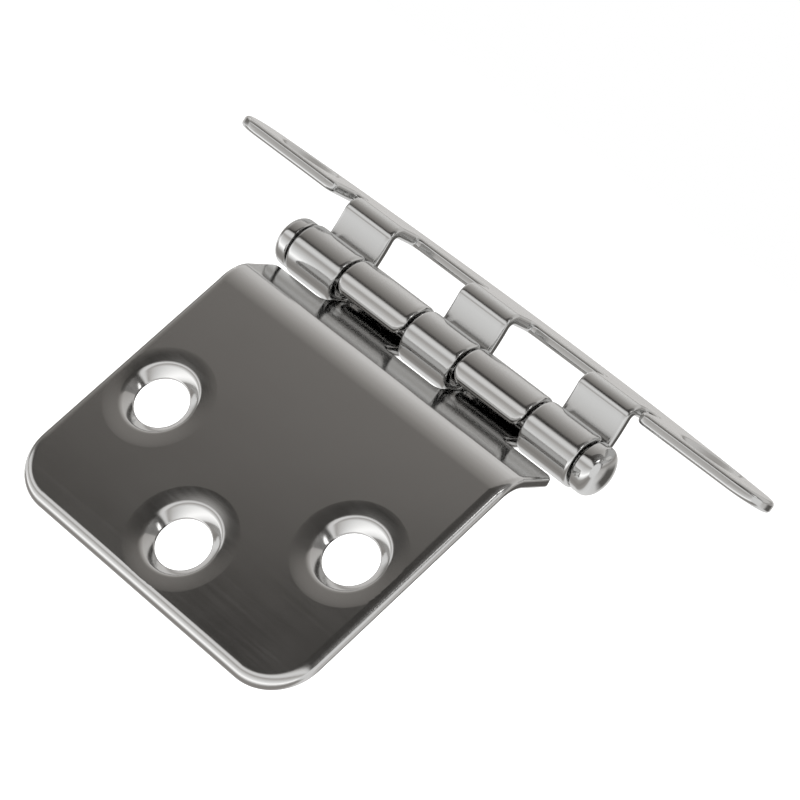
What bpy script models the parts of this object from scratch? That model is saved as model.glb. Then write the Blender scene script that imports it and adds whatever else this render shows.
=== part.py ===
# Offset hinge stamped from stainless sheet. Two leaves stand off from a barrel of five knuckles.
# Frame: X along the pin, +Y from the barrel across the frame leaf, +Z out of that leaf's screw side.
# The origin is on the frame leaf's seating face. The door leaf hangs open by OPEN_ANGLE.
import math
import bmesh
import bpy
from mathutils import Matrix, Vector

MM = 0.001

# ---- sizes, in millimetres and degrees ----
SHEET = 1.2                # thickness of both leaves
PIN_DIAMETER = 2.7
RUNNING_GAP = 0.3          # pin to bore, knuckle to knuckle, knuckle to head
STAND_OFF = 5.9            # pin axis to the seating face of either leaf
OPEN_ANGLE = 117.0         # between the two seating faces

DOOR_WIDTH = 38.0
DOOR_REACH = 38.4          # pin axis to the outer edge
DOOR_CORNER = 5.4
DOOR_BEND = 50.0           # leaf to ramp
DOOR_BEND_RADIUS = 4.5     # on the screw side
DOOR_SEAM = 1.0            # free end of a curl to the ramp it comes back to
DOOR_HOLE_SIDE = 6.0       # side edge to the two holes nearest the barrel
DOOR_HOLE_NEAR = 15.2      # outer edge to those two
DOOR_HOLE_FAR = 6.2        # outer edge to the third hole
BARREL_OVER = 0.2          # how far the barrel passes the door leaf's sides
NOTCH_CLEAR = 1.7          # round the frame leaf's knuckles, in the door leaf

FRAME_LENGTH = 70.6
FRAME_REACH = 12.8         # pin axis to the far edge at mid-length
FRAME_BEND = 90.0
FRAME_BEND_RADIUS = 2.5
FRAME_SEAM = 0.4
WING_END_RADIUS = 3.4
WING_CORNER = 1.2          # inner corner of a wing
WING_HOLE = 0.455          # share of a wing's length, from its inner end, to its screw hole
WING_HOLE_Y = 4.4          # pin axis to that hole, along the leaf
WINDOW_EDGE = 6.4          # pin axis to the closed side of the windows over the door leaf's knuckles
SLOT = 1.4                 # between a wing and the tongue next to it
KNUCKLE = 6.4              # width of the frame leaf's three knuckles

DOOR_HOLE, DOOR_SINK = 5.4, 7.6
FRAME_HOLE, FRAME_SINK = 4.8, 6.9
SINK_ANGLE = 90.0

HEAD_STEP = 0.2            # knuckle to pin head, in radius
HEAD_RIM = 0.9             # straight side of a head
HEAD_DOME = 1.4            # height of the dome on it
HEAD_CHAMFER = 0.15        # at the knuckle side

CURL_CORNER = 1.1          # corners of a curl's free end
RAMP_CORNER = 0.3          # corners of the ramp beside the barrel
INNER_CORNER = 0.65        # roots of the notches, windows and slots
EDGE_ROUND = 0.24          # tumbled edges of the stampings
SEAT_Y = 8.4               # pin axis to the origin, along the frame leaf
FACET = 7.5                # degrees between the facets of a bend or curl

# ---- sizes that follow ----
BORE = PIN_DIAMETER / 2 + RUNNING_GAP
BARREL = BORE + SHEET
FACE = STAND_OFF + SHEET   # pin axis to the screw side of either leaf
HALF_BARREL = DOOR_WIDTH / 2 + BARREL_OVER
WING_START = HALF_BARREL + SLOT
# Half of the barrel: the middle knuckle, one of the door leaf's, and an end one.
MIDDLE = (0.0, KNUCKLE / 2)
END = (HALF_BARREL - KNUCKLE, HALF_BARREL)
DOOR_KNUCKLE = (MIDDLE[1] + RUNNING_GAP, END[0] - RUNNING_GAP)


class Fold:
    """Path of a leaf's screw side: off the flat, round the bend, down the ramp and round the pin.
    It lies in the plane square to the pin; across is along the leaf, up is out of its screw side."""

    def __init__(self, bend, radius, seam):
        turn = math.radians(bend)
        ramp = (FACE - radius * (1 - math.cos(turn)) + BORE * math.cos(turn)) / math.sin(turn)
        curl = math.tau - math.acos((BORE - seam) / BARREL)
        self.start = radius * math.sin(turn) + ramp * math.cos(turn) + BORE * math.sin(turn)
        self.legs = ((radius * turn, turn), (ramp, 0.0), (BORE * curl, -curl))
        self.tangent = self.start - radius * turn - ramp
        self.tip = self.tangent - BORE * curl

    def at(self, y):
        """Point of the screw side, and the angle it faces, for a distance y on the flat blank."""
        across, up, heading = self.start, FACE, math.pi
        travel = self.start - y
        if travel <= 0:
            return y, up, math.pi / 2
        for length, turn in self.legs:
            part = min(travel, length)
            if turn:
                swing, radius = turn * part / length, length / turn
                across += radius * (math.sin(heading + swing) - math.sin(heading))
                up -= radius * (math.cos(heading + swing) - math.cos(heading))
                heading += swing
            else:
                across += part * math.cos(heading)
                up += part * math.sin(heading)
            travel -= part
            if travel < 1e-9:
                break
        return across, up, heading - math.pi / 2

    def creases(self):
        """Where the blank needs a cross line, so that it can follow the arcs."""
        lines, y = [self.tangent], self.start
        for length, turn in self.legs:
            if turn:
                count = round(abs(math.degrees(turn)) / FACET)
                lines += [y - length * k / count for k in range(count)]
            y -= length
        return lines


def rounded(corners, steps=5):
    """Outline through (x, y, radius) corners, each turned to an arc of its radius."""
    points = []
    for k, (x, y, radius) in enumerate(corners):
        here = Vector((x, y))
        if not radius:
            points.append(here)
            continue
        before = (Vector(corners[k - 1][:2]) - here).normalized()
        after = (Vector(corners[(k + 1) % len(corners)][:2]) - here).normalized()
        half = before.angle(after) / 2
        centre = here + (before + after).normalized() * radius / math.sin(half)
        first = here + before * radius / math.tan(half) - centre
        last = here + after * radius / math.tan(half) - centre
        swing = first.angle_signed(last)
        points += [centre + Matrix.Rotation(-swing * j / steps, 2) @ first for j in range(steps + 1)]
    return points


def door_outline(fold):
    """Half of the door leaf's blank; y is the developed distance from the pin axis."""
    half = DOOR_WIDTH / 2
    notch = fold.tangent + math.sqrt((BARREL + NOTCH_CLEAR) ** 2 - BORE ** 2)
    near, far = DOOR_KNUCKLE
    return rounded([(0, DOOR_REACH, 0), (half, DOOR_REACH, DOOR_CORNER), (half, notch, RAMP_CORNER),
                    (far, notch, INNER_CORNER), (far, fold.tip, CURL_CORNER),
                    (near, fold.tip, CURL_CORNER), (near, notch, INNER_CORNER), (0, notch, 0)])


def frame_outline(fold):
    """Half of the frame leaf's blank: a wing, the bowed far edge, an end tongue and half the middle one."""
    slot = fold.start + INNER_CORNER
    corners = [(0, fold.tip, 0), (MIDDLE[1], fold.tip, CURL_CORNER),
               (MIDDLE[1], WINDOW_EDGE, INNER_CORNER), (END[0], WINDOW_EDGE, INNER_CORNER),
               (END[0], fold.tip, CURL_CORNER), (END[1], fold.tip, CURL_CORNER),
               (END[1], slot, INNER_CORNER), (WING_START, slot, INNER_CORNER),
               (WING_START, 0, WING_CORNER)]
    # The far edge is one arc through its middle, tangent to the arc of the wing's end.
    r = WING_END_RADIUS
    tip_x, rise = FRAME_LENGTH / 2 - r, FRAME_REACH - r
    bow = (tip_x ** 2 + rise ** 2 - r ** 2) / (2 * (rise - r))
    lean = math.atan2(r + bow - FRAME_REACH, tip_x)
    for k in range(13):
        a = -math.pi / 2 + (lean + math.pi / 2) * k / 12
        corners.append((tip_x + r * math.cos(a), r + r * math.sin(a), 0))
    for k in range(1, 11):
        a = lean + (math.pi / 2 - lean) * k / 10
        corners.append((bow * math.cos(a) if k < 10 else 0, FRAME_REACH - bow + bow * math.sin(a), 0))
    return rounded(corners)


def flat_blank(name, half):
    """The blank as a flat plate: its half outline, mirrored and given the sheet's thickness."""
    outline = [tuple(p) for p in half] + [(-x, y) for x, y in reversed(half) if x > 0]
    plate = bmesh.new()
    lower = plate.faces.new([plate.verts.new((x, y, STAND_OFF)) for x, y in outline])
    raised = bmesh.ops.extrude_face_region(plate, geom=[lower])['geom']
    bmesh.ops.translate(plate, vec=(0, 0, SHEET), verts=[v for v in raised if isinstance(v, bmesh.types.BMVert)])
    bmesh.ops.recalc_face_normals(plate, faces=plate.faces[:])
    return from_bmesh(name, plate, PARTS)


def fold_up(leaf, fold, flat_from=None):
    """Bend the drilled blank along its path. What lies further out than flat_from stays flat."""
    bpy.context.view_layer.update()
    drilled = leaf.evaluated_get(bpy.context.evaluated_depsgraph_get())
    sheet = bmesh.new()
    sheet.from_mesh(drilled.to_mesh())
    leaf.modifiers.clear()
    bmesh.ops.scale(sheet, vec=(1 / MM, 1 / MM, 1 / MM), verts=sheet.verts[:])

    def score(point, normal):
        cells = sheet.verts[:] + sheet.edges[:] + sheet.faces[:]
        if flat_from and normal[1]:
            cells = [c for c in cells if all(abs(v.co.x) < flat_from + 0.01 for v in getattr(c, 'verts', [c]))]
        bmesh.ops.bisect_plane(sheet, geom=cells, dist=1e-4, plane_co=point, plane_no=normal)

    if flat_from:
        score((-flat_from, 0, 0), (1, 0, 0))
        score((flat_from, 0, 0), (1, 0, 0))
    for y in fold.creases():
        score((0, y, 0), (0, 1, 0))
    for vert in sheet.verts:
        x, y, z = vert.co
        if not flat_from or abs(x) < flat_from:
            across, up, facing = fold.at(y)
            vert.co = (x, across - (FACE - z) * math.cos(facing), up - (FACE - z) * math.sin(facing))
    bmesh.ops.scale(sheet, vec=(MM, MM, MM), verts=sheet.verts[:])
    sheet.to_mesh(leaf.data)
    sheet.free()


def from_bmesh(name, shape, group):
    """Object with this shape, drawn in millimetres."""
    data = bpy.data.meshes.new(name)
    bmesh.ops.scale(shape, vec=(MM, MM, MM), verts=shape.verts[:])
    shape.to_mesh(data)
    shape.free()
    item = bpy.data.objects.new(name, data)
    group.objects.link(item)
    return item


def turned(name, profile, steps, group):
    """Turned piece: the profile is (radius, height) down its outer side."""
    shape = bmesh.new()
    verts = [shape.verts.new((radius, 0, height)) for radius, height in profile]
    for a, b in zip(verts, verts[1:]):
        shape.edges.new((a, b))
    item = from_bmesh(name, shape, group)
    spin = item.modifiers.new('turn', 'SCREW')
    spin.steps = spin.render_steps = steps
    spin.use_merge_vertices = True
    spin.merge_threshold = 0.00001
    return item


def drill(leaf, centres, hole, sink):
    """Countersunk screw holes in the flat blank, from its screw side."""
    narrow, wide = hole / 2, sink / 2
    slope = math.tan(math.radians(SINK_ANGLE / 2))
    depth, above, below = (wide - narrow) / slope, 0.5, SHEET + 0.5
    profile = ((0, above), (wide + above * slope, above), (narrow, -depth), (narrow, -below), (0, -below))
    for k, (x, y) in enumerate(centres, 1):
        cutter = turned('%s_screw_hole_%d' % (leaf.name, k), profile, 40, CUTTERS)
        cutter.parent = leaf
        cutter.location = Vector((x, y, FACE)) * MM
        cutter.display_type = 'WIRE'
        cutter.hide_render = True
        cut = leaf.modifiers.new('screw_hole_%d' % k, 'BOOLEAN')
        cut.operation = 'DIFFERENCE'
        cut.solver = 'EXACT'
        cut.object = cutter


def tumble(leaf):
    """Broken edges all round, as a tumbled stamping has them."""
    edge = leaf.modifiers.new('tumbled_edges', 'BEVEL')
    edge.width = EDGE_ROUND * MM
    edge.segments = 1
    edge.limit_method = 'ANGLE'
    edge.angle_limit = math.radians(35)
    edge.harden_normals = True


def polished_steel(item, tint, roughness):
    look = bpy.data.materials.new(item.name + '_steel')
    look.use_nodes = True
    shader = look.node_tree.nodes['Principled BSDF']
    shader.inputs['Base Color'].default_value = (*tint, 1.0)
    shader.inputs['Metallic'].default_value = 1.0
    shader.inputs['Roughness'].default_value = roughness
    item.data.materials.append(look)
    item.data.shade_smooth()
    item.parent = pin_axis


for old in list(bpy.data.objects):
    bpy.data.objects.remove(old, do_unlink=True)
PARTS = bpy.data.collections.new('offset_hinge')
CUTTERS = bpy.data.collections.new('cutters')
for group in (PARTS, CUTTERS):
    bpy.context.scene.collection.children.link(group)
pin_axis = bpy.data.objects.new('pin_axis', None)
pin_axis.location = Vector((0, -SEAT_Y, -STAND_OFF)) * MM
PARTS.objects.link(pin_axis)

# Frame leaf: a bowed strip with two wings. Three tongues fold down from it and curl round the pin.
frame_fold = Fold(FRAME_BEND, FRAME_BEND_RADIUS, FRAME_SEAM)
frame_leaf = flat_blank('frame_leaf', frame_outline(frame_fold))
hole_x = WING_START + WING_HOLE * (FRAME_LENGTH / 2 - WING_START)
drill(frame_leaf, [(-hole_x, WING_HOLE_Y), (hole_x, WING_HOLE_Y)], FRAME_HOLE, FRAME_SINK)
fold_up(frame_leaf, frame_fold, HALF_BARREL + SLOT / 2)
tumble(frame_leaf)
polished_steel(frame_leaf, (0.62, 0.61, 0.60), 0.14)

# Door leaf: a square plate, a ramp down to the barrel and two curled tongues.
# Its own +Y runs the other way from the pin, and it turns from in line to the open angle.
door_fold = Fold(DOOR_BEND, DOOR_BEND_RADIUS, DOOR_SEAM)
door_leaf = flat_blank('door_leaf', door_outline(door_fold))
hole_x, near_y = DOOR_WIDTH / 2 - DOOR_HOLE_SIDE, DOOR_REACH - DOOR_HOLE_NEAR
drill(door_leaf, [(-hole_x, near_y), (hole_x, near_y), (0, DOOR_REACH - DOOR_HOLE_FAR)],
      DOOR_HOLE, DOOR_SINK)
fold_up(door_leaf, door_fold)
tumble(door_leaf)
polished_steel(door_leaf, (0.60, 0.59, 0.57), 0.10)
door_leaf.rotation_euler = (math.radians(OPEN_ANGLE) - math.pi, 0, math.pi)

# Pin: a plain shank with a domed head on each end. It stays fast in the frame leaf.
shank, head = PIN_DIAMETER / 2, BARREL - HEAD_STEP
inner = HALF_BARREL + RUNNING_GAP
side = [(head * math.sin(a), inner + HEAD_RIM + HEAD_DOME * math.cos(a))
        for a in (math.pi / 2 * k / 6 for k in range(7))]
side += [(head, inner + HEAD_CHAMFER), (head - HEAD_CHAMFER, inner), (shank, inner)]
hinge_pin = turned('hinge_pin', side + [(r, -z) for r, z in reversed(side)], 32, PARTS)
hinge_pin.rotation_euler = (0, math.pi / 2, 0)
polished_steel(hinge_pin, (0.64, 0.63, 0.62), 0.12)
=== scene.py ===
import math

import bmesh
import bpy
from mathutils import Matrix, Vector


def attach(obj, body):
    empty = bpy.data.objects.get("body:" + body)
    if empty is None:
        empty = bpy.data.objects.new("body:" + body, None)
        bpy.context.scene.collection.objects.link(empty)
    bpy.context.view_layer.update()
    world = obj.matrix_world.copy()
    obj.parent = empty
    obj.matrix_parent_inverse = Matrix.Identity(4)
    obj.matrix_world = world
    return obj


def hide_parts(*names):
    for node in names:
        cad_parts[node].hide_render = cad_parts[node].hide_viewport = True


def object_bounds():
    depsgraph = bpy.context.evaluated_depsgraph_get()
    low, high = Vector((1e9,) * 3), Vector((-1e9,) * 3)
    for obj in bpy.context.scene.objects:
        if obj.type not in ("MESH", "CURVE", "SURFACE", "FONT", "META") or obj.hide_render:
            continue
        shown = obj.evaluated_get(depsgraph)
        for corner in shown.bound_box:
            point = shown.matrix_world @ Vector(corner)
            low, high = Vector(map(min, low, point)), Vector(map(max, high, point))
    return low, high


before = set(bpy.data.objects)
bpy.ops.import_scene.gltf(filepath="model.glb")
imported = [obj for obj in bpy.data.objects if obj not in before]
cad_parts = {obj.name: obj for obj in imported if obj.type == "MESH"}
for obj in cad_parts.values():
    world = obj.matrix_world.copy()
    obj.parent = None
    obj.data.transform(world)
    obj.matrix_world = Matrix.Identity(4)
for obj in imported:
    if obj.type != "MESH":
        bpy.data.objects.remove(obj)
cadLow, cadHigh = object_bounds()
print("frame loaded:", sorted(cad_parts))

mm = 0.001
scene = bpy.context.scene

# Sizes in millimetres and degrees. Both leaves share these.
sheet = {
    "gauge": 1.2,
    "bore": 1.65,            # inside radius of a curl
    "faceHeight": 7.1,       # pin axis to the screw side of a leaf
    "axisY": -8.4,
    "axisZ": -5.9,
    "facet": 3.0,            # degrees between the lines across a bend
    "edgeSteps": 6,          # across the rounding of an edge
    "flatMargin": 0.15,      # a flat strip inside the rounding, which keeps the plate's shading even
    "bowSteps": 14,          # along a bowed tab
    "cornerSteps": 10,       # round a corner, twice as many on a large one
    "largeCorner": 3.0,
    "nearly": 1e-4,          # how close counts as touching when the sheet is scored
}
outerRadius = sheet["bore"] + sheet["gauge"]


# The steel: one node group, which each piece's material sets in its own way.

def newGroup(name, inputs, outputs):
    group = bpy.data.node_groups.new(name, "ShaderNodeTree")
    for label, kind, value in inputs:
        socket = group.interface.new_socket(label, in_out="INPUT", socket_type=kind)
        socket.default_value = value
    for label, kind in outputs:
        group.interface.new_socket(label, in_out="OUTPUT", socket_type=kind)
    return group, group.nodes.new("NodeGroupInput"), group.nodes.new("NodeGroupOutput")


def addNode(tree, kind, **settings):
    node = tree.nodes.new(kind)
    for key, value in settings.items():
        setattr(node, key, value)
    return node


def mathNode(tree, operation, a, b=None, c=None, clamp=False):
    node = addNode(tree, "ShaderNodeMath", operation=operation, use_clamp=clamp)
    for k, value in enumerate((a, b, c)):
        if value is None:
            continue
        if isinstance(value, (int, float)):
            node.inputs[k].default_value = value
        else:
            tree.links.new(value, node.inputs[k])
    return node.outputs[0]


def noiseNode(tree, vector, scale, detail, roughness):
    node = addNode(tree, "ShaderNodeTexNoise")
    node.inputs["Scale"].default_value = scale
    node.inputs["Detail"].default_value = detail
    node.inputs["Roughness"].default_value = roughness
    tree.links.new(vector, node.inputs["Vector"])
    return node.outputs["Fac"]


polishInputs = [
    ("Tint", "NodeSocketColor", (0.6, 0.59, 0.57, 1.0)),
    ("Haze", "NodeSocketFloat", 0.02),
    ("Rough Low", "NodeSocketFloat", 0.06),
    ("Rough High", "NodeSocketFloat", 0.14),
    ("Ripple", "NodeSocketFloat", 1.0),
]
polishOutputs = [
    ("Color", "NodeSocketColor"),
    ("Roughness", "NodeSocketFloat"),
    ("Height", "NodeSocketFloat"),
]
grain = {
    "stretch": (60, 2600, 2600),      # the rolled lines run along the pin
    "lines": (1.0, 3.0, 0.6),         # scale, detail and roughness of each noise
    "cloud": (95.0, 3.0, 0.55),
    "wave": (130.0, 1.0, 0.4),
    "linesShare": 0.45,
    "cloudShare": 0.55,
    "span": (0.3, 0.7),               # the part of the noise that goes from low to high roughness
    "linesHeight": 0.012,
    "bumpDistance": 0.00005,
    "ior": 2.4,
}


def makePolishGroup():
    # Bright rolled sheet: faint lines along the pin, a soft cloudy haze and a long ripple.
    group, given, out = newGroup("brightRolledSteel", polishInputs, polishOutputs)
    where = addNode(group, "ShaderNodeTexCoord").outputs["Object"]
    stretch = addNode(group, "ShaderNodeMapping")
    stretch.inputs["Scale"].default_value = grain["stretch"]
    group.links.new(where, stretch.inputs["Vector"])
    lines = noiseNode(group, stretch.outputs[0], *grain["lines"])
    cloud = noiseNode(group, where, *grain["cloud"])
    wave = noiseNode(group, where, *grain["wave"])
    # roughness
    both = mathNode(group, "MULTIPLY_ADD", cloud, grain["cloudShare"],
                    mathNode(group, "MULTIPLY", lines, grain["linesShare"]))
    span = addNode(group, "ShaderNodeMapRange")
    span.inputs["From Min"].default_value, span.inputs["From Max"].default_value = grain["span"]
    group.links.new(both, span.inputs["Value"])
    group.links.new(given.outputs["Rough Low"], span.inputs["To Min"])
    group.links.new(given.outputs["Rough High"], span.inputs["To Max"])
    group.links.new(span.outputs[0], out.inputs["Roughness"])
    # colour: the tint, a little lighter or darker in clouds
    shift = mathNode(group, "MULTIPLY", mathNode(group, "SUBTRACT", both, 0.5), given.outputs["Haze"])
    tone = addNode(group, "ShaderNodeVectorMath", operation="SCALE")
    group.links.new(given.outputs["Tint"], tone.inputs[0])
    group.links.new(mathNode(group, "ADD", shift, 1.0), tone.inputs["Scale"])
    group.links.new(tone.outputs[0], out.inputs["Color"])
    # height for the bump: the ripple and the lines
    ripple = mathNode(group, "MULTIPLY", wave, given.outputs["Ripple"])
    fine = mathNode(group, "MULTIPLY", lines, grain["linesHeight"])
    group.links.new(mathNode(group, "ADD", ripple, fine), out.inputs["Height"])
    return group


polishGroup = makePolishGroup()


def steelMaterial(name, look):
    material = bpy.data.materials.new(name)
    material.use_nodes = True
    tree = material.node_tree
    shader = tree.nodes["Principled BSDF"]
    shader.inputs["Metallic"].default_value = 1.0
    shader.inputs["IOR"].default_value = grain["ior"]
    polish = addNode(tree, "ShaderNodeGroup", node_tree=polishGroup)
    polish.inputs["Tint"].default_value = (*look["tint"], 1.0)
    polish.inputs["Haze"].default_value = look["haze"]
    polish.inputs["Rough Low"].default_value = look["rough"][0]
    polish.inputs["Rough High"].default_value = look["rough"][1]
    polish.inputs["Ripple"].default_value = look["ripple"]
    bump = addNode(tree, "ShaderNodeBump")
    bump.inputs["Strength"].default_value = look["bump"]
    bump.inputs["Distance"].default_value = grain["bumpDistance"]
    tree.links.new(polish.outputs["Color"], shader.inputs["Base Color"])
    tree.links.new(polish.outputs["Roughness"], shader.inputs["Roughness"])
    tree.links.new(polish.outputs["Height"], bump.inputs["Height"])
    tree.links.new(bump.outputs[0], shader.inputs["Normal"])
    return material


# Each leaf is cut flat, drilled and then folded along its real path.

def makeFold(size):
    # The screw side's path: flat, bend, ramp, then round the pin to the seam.
    turn, radius = math.radians(size["bend"]), size["bendRadius"]
    bore, face = sheet["bore"], sheet["faceHeight"]
    ramp = (face - radius * (1 - math.cos(turn)) + bore * math.cos(turn)) / math.sin(turn)
    curl = math.tau - math.acos((bore - size["seam"]) / outerRadius)
    fold = {
        "start": radius * math.sin(turn) + ramp * math.cos(turn) + bore * math.sin(turn),
        "bendLength": radius * turn,
        "legs": ((radius * turn, turn), (ramp, 0.0), (bore * curl, -curl)),
        "bow": size["bow"],
    }
    fold["tangent"] = fold["start"] - radius * turn - ramp
    fold["tip"] = fold["tangent"] - bore * curl
    return fold


def foldPoint(fold, y):
    # Where a point of the flat screw side ends up, and the way the sheet faces there.
    across, up, heading = fold["start"], sheet["faceHeight"], math.pi
    travel = fold["start"] - y
    if travel <= 0:
        return y, up, math.pi / 2
    for length, turn in fold["legs"]:
        part = min(travel, length)
        if turn:
            swing, radius = turn * part / length, length / turn
            across += radius * (math.sin(heading + swing) - math.sin(heading))
            up -= radius * (math.cos(heading + swing) - math.cos(heading))
            heading += swing
        else:
            lift = fold["bow"] * math.sin(math.pi * part / length)
            across += part * math.cos(heading) - lift * math.sin(heading)
            up += part * math.sin(heading) + lift * math.cos(heading)
        travel -= part
        if travel <= 0:
            break
    return across, up, heading - math.pi / 2


def creaseLines(fold):
    lines, y = [fold["tangent"]], fold["start"]
    for length, turn in fold["legs"]:
        if turn:
            count = round(abs(math.degrees(turn)) / sheet["facet"])
            lines += [y - length * k / count for k in range(count)]
        elif fold["bow"]:
            lines += [y - length * k / sheet["bowSteps"] for k in range(sheet["bowSteps"])]
        y -= length
    return lines


def roundedOutline(corners):
    # Each corner is x, y and the radius it is rounded by.
    points = []
    for k, (x, y, radius) in enumerate(corners):
        here = Vector((x, y))
        if not radius:
            points.append(here)
            continue
        before = (Vector(corners[k - 1][:2]) - here).normalized()
        after = (Vector(corners[(k + 1) % len(corners)][:2]) - here).normalized()
        half = before.angle(after) / 2
        centre = here + (before + after).normalized() * radius / math.sin(half)
        first = here + before * radius / math.tan(half) - centre
        last = here + after * radius / math.tan(half) - centre
        swing = first.angle_signed(last)
        steps = sheet["cornerSteps"] * (2 if radius > sheet["largeCorner"] else 1)
        points += [centre + Matrix.Rotation(-swing * j / steps, 2) @ first for j in range(steps + 1)]
    return points


def objectFrom(name, shape):
    data = bpy.data.meshes.new(name)
    bmesh.ops.scale(shape, vec=(mm, mm, mm), verts=shape.verts[:])
    shape.to_mesh(data)
    shape.free()
    item = bpy.data.objects.new(name, data)
    scene.collection.objects.link(item)
    return item


def turnedPiece(name, profile, steps):
    shape = bmesh.new()
    verts = [shape.verts.new((radius, 0, height)) for radius, height in profile]
    for a, b in zip(verts, verts[1:]):
        shape.edges.new((a, b))
    item = objectFrom(name, shape)
    spin = item.modifiers.new("turn", "SCREW")
    spin.steps = spin.render_steps = steps
    spin.use_merge_vertices = True
    spin.merge_threshold = 0.002 * mm
    return item


def settle(item):
    # Apply the modifiers, so that what is left is one plain mesh.
    bpy.context.view_layer.update()
    seen = item.evaluated_get(bpy.context.evaluated_depsgraph_get())
    finished = bpy.data.meshes.new_from_object(seen)
    item.modifiers.clear()
    item.data = finished
    finished.name = item.name


def inwardVectors(outline):
    # At each corner of the outline, the step that moves both edges in by one.
    area = sum(a.x * b.y - b.x * a.y for a, b in zip(outline, outline[1:] + outline[:1]))
    steps = []
    for k, here in enumerate(outline):
        before = (here - outline[k - 1]).normalized()
        after = (outline[(k + 1) % len(outline)] - here).normalized()
        middle = Vector((-before.y - after.y, before.x + after.x)) * math.copysign(1, area)
        steps.append(middle * 2 / middle.length_squared)
    return steps


def edgeRounds(y, fold, size):
    # The edge's radius at the back and on the screw side. The coined rim fades in over the bend.
    plain = size["edgeRound"]
    if "coined" not in size:
        return plain, plain
    share = min(max((y - fold["start"] + fold["bendLength"]) / fold["bendLength"], 0), 1)
    return plain + (size["coinedBack"] - plain) * share, plain + (size["coined"] - plain) * share


def edgeProfile(back, front):
    # Inset from the outline, and height, from the back face round the edge to the screw side.
    high, low, margin = sheet["faceHeight"], sheet["faceHeight"] - sheet["gauge"], sheet["flatMargin"]
    quarter = [math.pi / 2 * k / sheet["edgeSteps"] for k in range(sheet["edgeSteps"] + 1)]
    points = [(back + margin, low)]
    points += [(back * (1 - math.sin(a)), low + back * (1 - math.cos(a))) for a in quarter]
    points += [(front * (1 - math.cos(a)), high - front * (1 - math.sin(a))) for a in quarter]
    return points + [(front + margin, high)]


def flatBlank(name, half, fold, size):
    outline = [Vector(p) for p in half] + [Vector((-x, y)) for x, y in reversed(half) if x > 0]
    plate = bmesh.new()
    columns = []
    for point, step in zip(outline, inwardVectors(outline)):
        profile = edgeProfile(*edgeRounds(point.y, fold, size))
        columns.append([plate.verts.new((*(point + step * inset), height)) for inset, height in profile])
    for left, right in zip(columns, columns[1:] + columns[:1]):
        for k in range(len(left) - 1):
            plate.faces.new((left[k], right[k], right[k + 1], left[k + 1]))
    for end in (0, -1):
        plate.faces.new([column[end] for column in columns])
    bmesh.ops.recalc_face_normals(plate, faces=plate.faces[:])
    return objectFrom(name, plate)


cutterShape = {
    "turnSteps": 96,
    "over": 0.6,             # how far the cutter stands over the sheet
    "under": 0.4,            # and how far it goes through
    "startOver": 0.0015,     # the dish starts this much over the sheet
    "dishSteps": 10,
    "rollSteps": 8,
    "coneAngle": 45.0,
    "coneEnd": 0.12,         # the cone steepens this far from the hole's wall
    "coneLip": 0.03,
    "backEdge": 0.1,         # the broken edge at the back
    "backDepth": 0.08,
    "backOver": 0.02,
}


def sinkProfile(holes):
    # Down the cutter's outer side: a shallow dish, a rolled-over rim, the cone and the through hole.
    size, gauge = cutterShape, sheet["gauge"]
    narrow, wide, roll = holes["through"] / 2, holes["sink"] / 2, holes["roll"]
    cone, sag = math.radians(size["coneAngle"]), math.radians(holes["dishSlope"])
    rim = wide + roll * math.tan(cone / 2)
    points = [(0, size["over"]), (rim + holes["dish"] + size["over"], size["over"])]
    depth, steps = -size["startOver"], size["dishSteps"]
    for k in range(steps + 1):
        # steeper towards the rim, most of it in the first steps
        if k:
            depth += holes["dish"] / steps * math.tan(sag * math.sqrt((k - 0.5) / steps))
        points.append((rim + holes["dish"] * (1 - k / steps), -depth))
    for k in range(1, size["rollSteps"] + 1):
        a = sag + (cone - sag) * k / size["rollSteps"]
        points.append((rim - roll * math.sin(a), -roll * (1 - math.cos(a)) - depth))
    end, lip = size["coneEnd"], size["coneLip"]
    points += [(narrow + end, narrow + end - wide), (narrow + lip, narrow - lip - wide)]
    points += [(narrow, size["backDepth"] - gauge), (narrow + size["backEdge"], -size["backOver"] - gauge)]
    return points + [(narrow + size["backEdge"], -size["under"] - gauge), (0, -size["under"] - gauge)]


def drillBlank(leaf, holes):
    cutters = []
    for k, (x, y) in enumerate(holes["places"]):
        cutter = turnedPiece("%sCut%d" % (leaf.name, k), sinkProfile(holes), cutterShape["turnSteps"])
        cutter.location = Vector((x, y, sheet["faceHeight"])) * mm
        cut = leaf.modifiers.new("screwHole%d" % k, "BOOLEAN")
        cut.operation = "DIFFERENCE"
        cut.solver = "EXACT"
        cut.object = cutter
        cutters.append(cutter)
    settle(leaf)
    for cutter in cutters:
        bpy.data.objects.remove(cutter, do_unlink=True)


dishStart = {"flat": 0.9999999, "steepest": 0.998, "shallowest": 0.99999}      # how far up a face points


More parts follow.
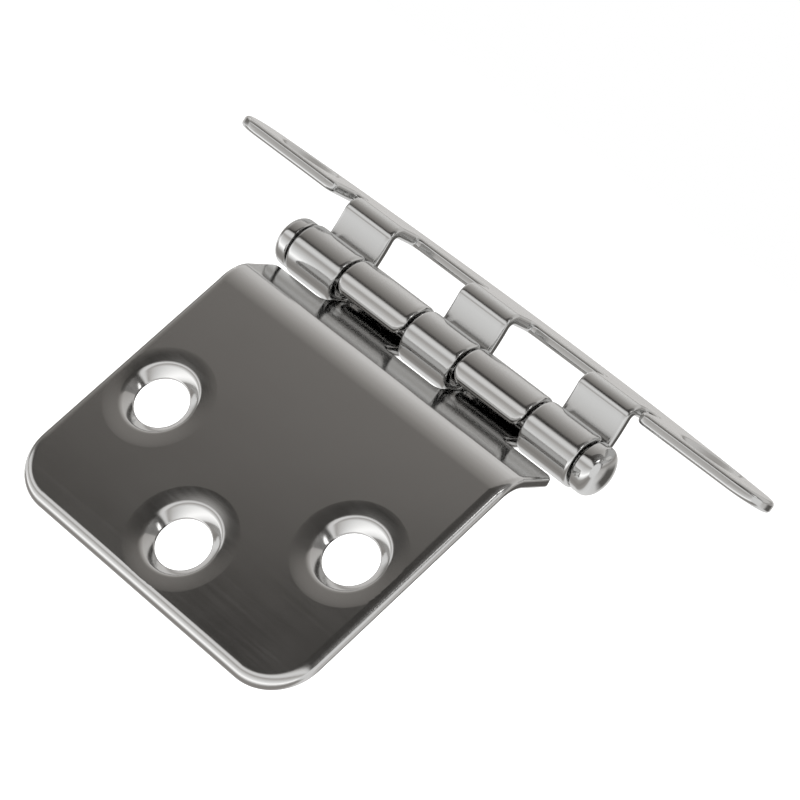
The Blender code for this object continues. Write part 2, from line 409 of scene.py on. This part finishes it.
def foldUp(leaf, fold, flatFrom):
    # Further out than flatFrom the sheet stays flat: slots free the folded part from the wings.
    shape = bmesh.new()
    shape.from_mesh(leaf.data)
    bmesh.ops.scale(shape, vec=(1 / mm, 1 / mm, 1 / mm), verts=shape.verts[:])

    def score(point, normal):
        cells = shape.verts[:] + shape.edges[:] + shape.faces[:]
        if flatFrom and normal[1]:
            cells = [c for c in cells
                     if all(abs(v.co.x) < flatFrom + sheet["nearly"] for v in getattr(c, "verts", [c]))]
        bmesh.ops.bisect_plane(shape, geom=cells, dist=sheet["nearly"], plane_co=point, plane_no=normal)

    if flatFrom:
        score((-flatFrom, 0, 0), (1, 0, 0))
        score((flatFrom, 0, 0), (1, 0, 0))
    for y in creaseLines(fold):
        score((0, y, 0), (0, 1, 0))
    # the shading stays evenly flat up to the shallow dish round each hole
    for edge in shape.edges:
        sides = sorted(face.normal.z for face in edge.link_faces)
        edge.smooth = not (len(sides) == 2 and sides[1] > dishStart["flat"]
                           and dishStart["steepest"] < sides[0] < dishStart["shallowest"])
    for vert in shape.verts:
        x, y, z = vert.co
        if flatFrom and abs(x) >= flatFrom:
            continue
        across, up, facing = foldPoint(fold, y)
        depth = sheet["faceHeight"] - z
        vert.co = (x, across - depth * math.cos(facing), up - depth * math.sin(facing))
    bmesh.ops.scale(shape, vec=(mm, mm, mm), verts=shape.verts[:])
    shape.to_mesh(leaf.data)
    shape.free()


def makeLeaf(name, half, fold, flatFrom, size):
    leaf = flatBlank(name, half, fold, size)
    drillBlank(leaf, size["holes"])
    foldUp(leaf, fold, flatFrom)
    even = leaf.modifiers.new("evenNormals", "WEIGHTED_NORMAL")
    even.keep_sharp = True
    leaf.data.shade_smooth()
    settle(leaf)
    return leaf


def seatOnAxis(item, turn):
    # From the leaf's own frame, with the pin axis at its origin, to the hinge's frame.
    item.data.transform(turn)
    item.data.transform(Matrix.Translation(Vector((0, sheet["axisY"], sheet["axisZ"])) * mm))


# The frame leaf: a bowed strip with two wings and three knuckles.

frameLeaf = {
    "length": 70.6,
    "reach": 12.8,             # pin axis to the far edge at mid-length
    "knuckle": 6.4,
    "halfBarrel": 19.2,
    "slot": 1.4,
    "slotEnd": 4.8,
    "window": 6.4,
    "tongueRound": 1.1,        # corners at the tips of the tongues
    "innerRound": 0.65,        # corners inside the windows and slots
    "wingRound": 1.2,
    "wingEnd": 3.4,            # radius of a wing's end
    "wingEndSteps": 30,
    "farEdgeSteps": 24,
    "bend": 90.0,
    "bendRadius": 1.6,
    "seam": 0.4,
    "bow": 0.25,               # of the tabs between the bend and the barrel
    "holes": {"through": 4.8, "sink": 6.9, "roll": 0.5, "dish": 0.5, "dishSlope": 3.0,
              "places": ((-27.29, 4.4), (27.29, 4.4))},
    "edgeRound": 0.4,
    "look": {"tint": (0.585, 0.585, 0.58), "haze": 0.10, "rough": (0.11, 0.19), "ripple": 0.6, "bump": 0.5},
}


def frameLeafOutline(fold):
    # Half of the flat blank, from the middle tongue's tip round to the middle of the far edge.
    size = frameLeaf
    tip, window, slotEnd = fold["tip"], size["window"], size["slotEnd"]
    tongue, inner = size["tongueRound"], size["innerRound"]
    middle, endFar = size["knuckle"] / 2, size["halfBarrel"]
    endNear, wing = endFar - size["knuckle"], endFar + size["slot"]
    corners = [(0, tip, 0), (middle, tip, tongue), (middle, window, inner),
               (endNear, window, inner), (endNear, tip, tongue), (endFar, tip, tongue),
               (endFar, slotEnd, inner), (wing, slotEnd, inner), (wing, 0, size["wingRound"])]
    # the wing's end and the far edge are two arcs that meet smoothly
    r = size["wingEnd"]
    tipX, rise = size["length"] / 2 - r, size["reach"] - r
    far = (tipX ** 2 + rise ** 2 - r ** 2) / (2 * (rise - r))
    lean = math.atan2(r + far - size["reach"], tipX)
    steps = size["wingEndSteps"]
    for k in range(steps + 1):
        a = -math.pi / 2 + (lean + math.pi / 2) * k / steps
        corners.append((tipX + r * math.cos(a), r + r * math.sin(a), 0))
    steps = size["farEdgeSteps"]
    for k in range(1, steps):
        a = lean + (math.pi / 2 - lean) * k / steps
        corners.append((far * math.cos(a), size["reach"] - far + far * math.sin(a), 0))
    return roundedOutline(corners + [(0, size["reach"], 0)])


frameFold = makeFold(frameLeaf)
frameSteel = steelMaterial("frameLeafSteel", frameLeaf["look"])
longLeaf = makeLeaf("longLeaf", frameLeafOutline(frameFold), frameFold,
                    frameLeaf["halfBarrel"] + frameLeaf["slot"] / 2, frameLeaf)
longLeaf.data.materials.clear()
longLeaf.data.materials.append(frameSteel)
seatOnAxis(longLeaf, Matrix.Identity(4))
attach(longLeaf, "frame")
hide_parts("frame_leaf")
print("frame leaf folded:", len(longLeaf.data.polygons), "faces")


# The door leaf: a square plate on a ramp, with two knuckles.

doorLeaf = {
    "width": 38.0,
    "reach": 38.4,              # pin axis to the outer edge
    "corner": 5.4,
    "knuckleNear": 3.5,         # middle of the barrel to a knuckle's two ends
    "knuckleFar": 12.5,
    "notchClear": 1.2,          # free of the other leaf's knuckles
    "tongueRound": 1.1,
    "innerRound": 0.65,
    "sideRound": 0.8,
    "bend": 50.0,
    "bendRadius": 4.5,
    "seam": 1.0,
    "bow": 0.0,
    "openAngle": 117.0,         # between the seating faces at rest
    "holes": {"through": 5.4, "sink": 7.6, "roll": 0.8, "dish": 1.5, "dishSlope": 5.2,
              "places": ((-13.0, 23.2), (13.0, 23.2), (0.0, 32.2))},
    "edgeRound": 0.42,
    "coined": 1.0,              # the plate's outer edges on the screw side
    "coinedBack": 0.15,
    "fadeSteps": 6,             # along the bend, where that edge begins
    "look": {"tint": (0.58, 0.577, 0.57), "haze": 0.10, "rough": (0.11, 0.17), "ripple": 0.5, "bump": 0.5},
}


def doorLeafOutline(fold):
    # Half of the flat blank, from the middle of the outer edge round to the middle notch.
    size = doorLeaf
    half, near, far = size["width"] / 2, size["knuckleNear"], size["knuckleFar"]
    tip, tongue, inner = fold["tip"], size["tongueRound"], size["innerRound"]
    notch = fold["tangent"] + math.sqrt((outerRadius + size["notchClear"]) ** 2 - sheet["bore"] ** 2)
    steps = size["fadeSteps"]
    fade = [(half, fold["start"] - fold["bendLength"] * k / steps, 0) for k in range(steps + 1)]
    return roundedOutline([(0, size["reach"], 0), (half, size["reach"], size["corner"]), *fade,
                           (half, notch, size["sideRound"]), (far, notch, inner), (far, tip, tongue),
                           (near, tip, tongue), (near, notch, inner), (0, notch, 0)])


doorFold = makeFold(doorLeaf)
doorSteel = steelMaterial("doorLeafSteel", doorLeaf["look"])
squareLeaf = makeLeaf("squareLeaf", doorLeafOutline(doorFold), doorFold, None, doorLeaf)
squareLeaf.data.materials.clear()
squareLeaf.data.materials.append(doorSteel)
seatOnAxis(squareLeaf, Matrix.Rotation(math.radians(180 - doorLeaf["openAngle"]), 4, "X")
           @ Matrix.Rotation(math.pi, 4, "Z"))
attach(squareLeaf, "door")
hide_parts("door_leaf")
print("door leaf folded:", len(squareLeaf.data.polygons), "faces")


# The pin: one shank with a domed head at each end.

pin = {
    "shank": 1.35,             # radius
    "head": 2.65,              # radius
    "inner": 19.5,             # middle to the inner side of a head
    "rim": 0.9,                # height of a head's straight side
    "rimRound": 0.25,
    "rimSteps": 6,
    "dome": 1.4,
    "domeSteps": 20,
    "turnSteps": 96,
    "sharpFrom": 40,
    "look": {"tint": (0.60, 0.60, 0.595), "haze": 0.08, "rough": (0.08, 0.15), "ripple": 0.4, "bump": 0.4},
}


def pinProfile():
    size = pin
    inner, head, rimRound = size["inner"], size["head"], size["rimRound"]
    side = []
    for k in range(size["domeSteps"] + 1):
        a = math.pi / 2 * k / size["domeSteps"]
        side.append((head * math.sin(a), inner + size["rim"] + size["dome"] * math.cos(a)))
    for k in range(size["rimSteps"] + 1):
        a = math.pi / 2 * k / size["rimSteps"]
        side.append((head - rimRound + rimRound * math.cos(a), inner + rimRound - rimRound * math.sin(a)))
    side.append((size["shank"], inner))
    return side + [(radius, -height) for radius, height in reversed(side)]


pinSteel = steelMaterial("pinSteel", pin["look"])
domedPin = turnedPiece("domedPin", pinProfile(), pin["turnSteps"])
settle(domedPin)
domedPin.data.shade_smooth()
domedPin.data.set_sharp_from_angle(angle=math.radians(pin["sharpFrom"]))
domedPin.data.materials.clear()
domedPin.data.materials.append(pinSteel)
seatOnAxis(domedPin, Matrix.Rotation(math.pi / 2, 4, "Y"))
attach(domedPin, "frame")
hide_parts("hinge_pin")
print("pin turned:", len(domedPin.data.polygons), "faces")


# The studio, in metres: two softboxes, a pale floor and a tent of graded light that only reflections see.

studio = {
    "floorDrop": 0.03,         # below the lowest point of the hinge
    "floorHalf": 3.0,
    "floorTone": 0.86,
    "floorRough": 0.9,
    "floorGlow": 0.45,
    "worldLevel": 0.85,
    "lamps": (
        # direction from the hinge, distance, side, watts
        ((-0.6, 0.5, 0.9), 0.7, 0.5, 2.2),
        ((0.8, -0.3, 0.7), 0.8, 0.4, 1.4),
    ),
    "tentRadius": 0.45,
    "tentLength": 2.4,
    "tentSteps": 96,
    "tentGrades": (
        # degrees up from the front, how light the tent's wall is there
        (-180, 0.68), (-140, 1.0), (-123, 0.95), (-112, 0.42), (-90, 0.33), (-68, 0.45),
        (-56, 1.10), (-44, 1.80), (-34, 1.35), (-20, 1.0), (-8, 0.78), (-2, 0.60),
        (4, 0.50), (11, 0.95), (19, 1.08), (27, 0.90), (30.5, 0.30), (32.5, 0.05),
        (36.5, 0.065), (38.3, 0.15), (42, 0.172), (44.5, 0.225), (48, 0.25), (64, 0.36),
        (89, 0.55), (102, 0.67), (116, 0.77), (147, 0.77), (158, 0.34), (167, 0.62),
        (176, 0.72), (180, 0.68),
    ),
    # dimmer below a slanting line, which stands at these degrees at this place along the pin
    "dimCorner": {"degrees": 44.4, "place": -0.203, "slope": 91.0, "fade": 4.0,
                  "above": 34.0, "aboveFade": 2.0, "loss": 0.62},
    "warmth": 0.07,            # how much warmer the tent's darkest wall is than its white
    "cards": (
        # direction, distance, width, height, level
        ((0.479, 0.87, -0.05), 0.40, 0.34, 0.24, 0.13),
        ((-1.0, 0.05, 0.10), 0.70, 0.60, 0.40, 0.22),
    ),
    "cardTint": (1.04, 1.0, 0.94),
    "cardFade": 0.25,          # share of the card's size over which its edges fade
}


def aim(item, direction, distance, target):
    away = Vector(direction).normalized()
    item.location = target + away * distance
    item.rotation_mode = "QUATERNION"
    item.rotation_quaternion = away.to_track_quat("Z", "Y")


middle = (cadLow + cadHigh) / 2
for k, (direction, distance, side, watts) in enumerate(studio["lamps"]):
    data = bpy.data.lights.new("softbox%d" % k, "AREA")
    data.size = side
    data.energy = watts
    lamp = bpy.data.objects.new("softbox%d" % k, data)
    scene.collection.objects.link(lamp)
    aim(lamp, direction, distance, middle)


def seenOnlyInGloss(item):
    item.visible_camera = item.visible_diffuse = item.visible_shadow = False
    item.visible_transmission = item.visible_volume_scatter = False


def tentMaterial():
    # The wall's grade goes round the pin's direction, from white to warm grey and back.
    material = bpy.data.materials.new("tentWall")
    material.use_nodes = True
    tree = material.node_tree
    tree.nodes.clear()
    out = addNode(tree, "ShaderNodeOutputMaterial")
    glow = addNode(tree, "ShaderNodeEmission")
    where = addNode(tree, "ShaderNodeTexCoord").outputs["Object"]
    split = addNode(tree, "ShaderNodeSeparateXYZ")
    tree.links.new(where, split.inputs[0])
    up = mathNode(tree, "ARCTAN2", split.outputs[2], mathNode(tree, "MULTIPLY", split.outputs[1], -1.0))
    spot = mathNode(tree, "MULTIPLY_ADD", up, 1 / math.tau, 0.5)
    ramp = addNode(tree, "ShaderNodeValToRGB")
    grades = ramp.color_ramp
    grades.interpolation = "LINEAR"
    while len(grades.elements) < len(studio["tentGrades"]):
        grades.elements.new(0.5)
    for element, (degrees, level) in zip(grades.elements, studio["tentGrades"]):
        element.position = degrees / 360 + 0.5
        warm = studio["warmth"] * (1 - min(level, 1))
        element.color = (level * (1 + warm), level, level * (1 - warm), 1.0)
    tree.links.new(spot, ramp.inputs[0])
    # a dim corner on one side of a slanting line
    dim = studio["dimCorner"]
    degrees = mathNode(tree, "MULTIPLY", up, 360 / math.tau)
    line = mathNode(tree, "MULTIPLY_ADD", split.outputs[0], dim["slope"],
                    dim["degrees"] - dim["slope"] * dim["place"])
    below = mathNode(tree, "DIVIDE", mathNode(tree, "SUBTRACT", line, degrees), dim["fade"], clamp=True)
    above = mathNode(tree, "SUBTRACT", degrees, dim["above"])
    above = mathNode(tree, "DIVIDE", above, dim["aboveFade"], clamp=True)
    lost = mathNode(tree, "MULTIPLY", mathNode(tree, "MULTIPLY", below, above), dim["loss"])
    tree.links.new(mathNode(tree, "SUBTRACT", 1.0, lost), glow.inputs["Strength"])
    tree.links.new(ramp.outputs[0], glow.inputs["Color"])
    tree.links.new(glow.outputs[0], out.inputs["Surface"])
    return material


def cardMaterial(level):
    material = bpy.data.materials.new("softCard")
    material.use_nodes = True
    tree = material.node_tree
    tree.nodes.clear()
    out = addNode(tree, "ShaderNodeOutputMaterial")
    glow = addNode(tree, "ShaderNodeEmission")
    glow.inputs["Color"].default_value = (*(level * share for share in studio["cardTint"]), 1.0)
    clear = addNode(tree, "ShaderNodeBsdfTransparent")
    where = addNode(tree, "ShaderNodeTexCoord").outputs["Generated"]
    split = addNode(tree, "ShaderNodeSeparateXYZ")
    tree.links.new(where, split.inputs[0])
    fades = []
    for axis in (0, 1):
        # 0 at the card's edges, 1 in its middle
        off = mathNode(tree, "ABSOLUTE", mathNode(tree, "SUBTRACT", split.outputs[axis], 0.5))
        inside = mathNode(tree, "SUBTRACT", 0.5, off)
        fades.append(mathNode(tree, "DIVIDE", inside, studio["cardFade"], clamp=True))
    blend = addNode(tree, "ShaderNodeMixShader")
    tree.links.new(mathNode(tree, "MULTIPLY", fades[0], fades[1]), blend.inputs[0])
    tree.links.new(clear.outputs[0], blend.inputs[1])
    tree.links.new(glow.outputs[0], blend.inputs[2])
    tree.links.new(blend.outputs[0], out.inputs["Surface"])
    return material


tentProfile = [(studio["tentRadius"] / mm, side * studio["tentLength"] / 2 / mm) for side in (1, -1)]
tent = turnedPiece("tent", tentProfile, studio["tentSteps"])
settle(tent)
tent.data.shade_smooth()
tent.data.transform(Matrix.Rotation(math.pi / 2, 4, "Y"))
tent.location = middle
tent.data.materials.clear()
tent.data.materials.append(tentMaterial())
seenOnlyInGloss(tent)

for k, (direction, distance, width, height, level) in enumerate(studio["cards"]):
    board = bmesh.new()
    bmesh.ops.create_grid(board, x_segments=1, y_segments=1, size=0.5)
    bmesh.ops.scale(board, vec=(width / mm, height / mm, 1 / mm), verts=board.verts[:])
    card = objectFrom("card%d" % k, board)
    card.data.materials.append(cardMaterial(level))
    aim(card, direction, distance, middle)
    seenOnlyInGloss(card)

ground = bmesh.new()
bmesh.ops.create_grid(ground, x_segments=1, y_segments=1, size=studio["floorHalf"] / mm)
floor = objectFrom("floor", ground)
floor.location = (middle.x, middle.y, cadLow.z - studio["floorDrop"])
floorPaint = bpy.data.materials.new("floorPaint")
floorPaint.use_nodes = True
tree = floorPaint.node_tree
shader = tree.nodes["Principled BSDF"]
shader.inputs["Base Color"].default_value = (*[studio["floorTone"]] * 3, 1.0)
shader.inputs["Roughness"].default_value = studio["floorRough"]
shader.inputs["Specular IOR Level"].default_value = 0.0
path = addNode(tree, "ShaderNodeLightPath")
seen = mathNode(tree, "MAXIMUM", path.outputs["Is Camera Ray"], path.outputs["Is Glossy Ray"])
tree.links.new(mathNode(tree, "MULTIPLY", seen, studio["floorGlow"]), shader.inputs["Emission Strength"])
shader.inputs["Emission Color"].default_value = (1.0, 1.0, 1.0, 1.0)
floor.data.materials.append(floorPaint)
floor.visible_glossy = False     # the steel reflects the tent's lower half there

world = bpy.data.worlds.new("studioWorld")
scene.world = world
world.use_nodes = True
tree = world.node_tree
tree.nodes.clear()
out = addNode(tree, "ShaderNodeOutputWorld")
plain = addNode(tree, "ShaderNodeBackground")
plain.inputs["Color"].default_value = (1.0, 1.0, 1.0, 1.0)
plain.inputs["Strength"].default_value = studio["worldLevel"]
white = addNode(tree, "ShaderNodeBackground")
white.inputs["Color"].default_value = (1.0, 1.0, 1.0, 1.0)
white.inputs["Strength"].default_value = 1.0
path = addNode(tree, "ShaderNodeLightPath")
seen = mathNode(tree, "MAXIMUM", path.outputs["Is Camera Ray"], path.outputs["Is Glossy Ray"])
seen = mathNode(tree, "MAXIMUM", seen, path.outputs["Is Transmission Ray"])
blend = addNode(tree, "ShaderNodeMixShader")
tree.links.new(seen, blend.inputs[0])
tree.links.new(plain.outputs[0], blend.inputs[1])
tree.links.new(white.outputs[0], blend.inputs[2])
tree.links.new(blend.outputs[0], out.inputs["Surface"])

scene.view_settings.view_transform = "Standard"
print("studio set")


# The camera, where the photograph was taken from.

cameraAt = {
    "place": (0.14595, -0.2745, 0.02545),
    "right": (0.6913, 0.4597, 0.5577),
    "up": (-0.5408, -0.1829, 0.8212),
    "lens": 143.7,
    "sensor": 36.0,
    "nearest": 0.01,
}
data = bpy.data.cameras.new("photoCamera")
data.lens = cameraAt["lens"]
data.sensor_width = cameraAt["sensor"]
data.clip_start = cameraAt["nearest"]
camera = bpy.data.objects.new("photoCamera", data)
scene.collection.objects.link(camera)
right = Vector(cameraAt["right"]).normalized()
up = Vector(cameraAt["up"])
up = (up - right * up.dot(right)).normalized()
back = right.cross(up)
turn = Matrix((right, up, back)).transposed()
camera.matrix_world = Matrix.Translation(cameraAt["place"]) @ turn.to_4x4()
scene.camera = camera
print("camera set")
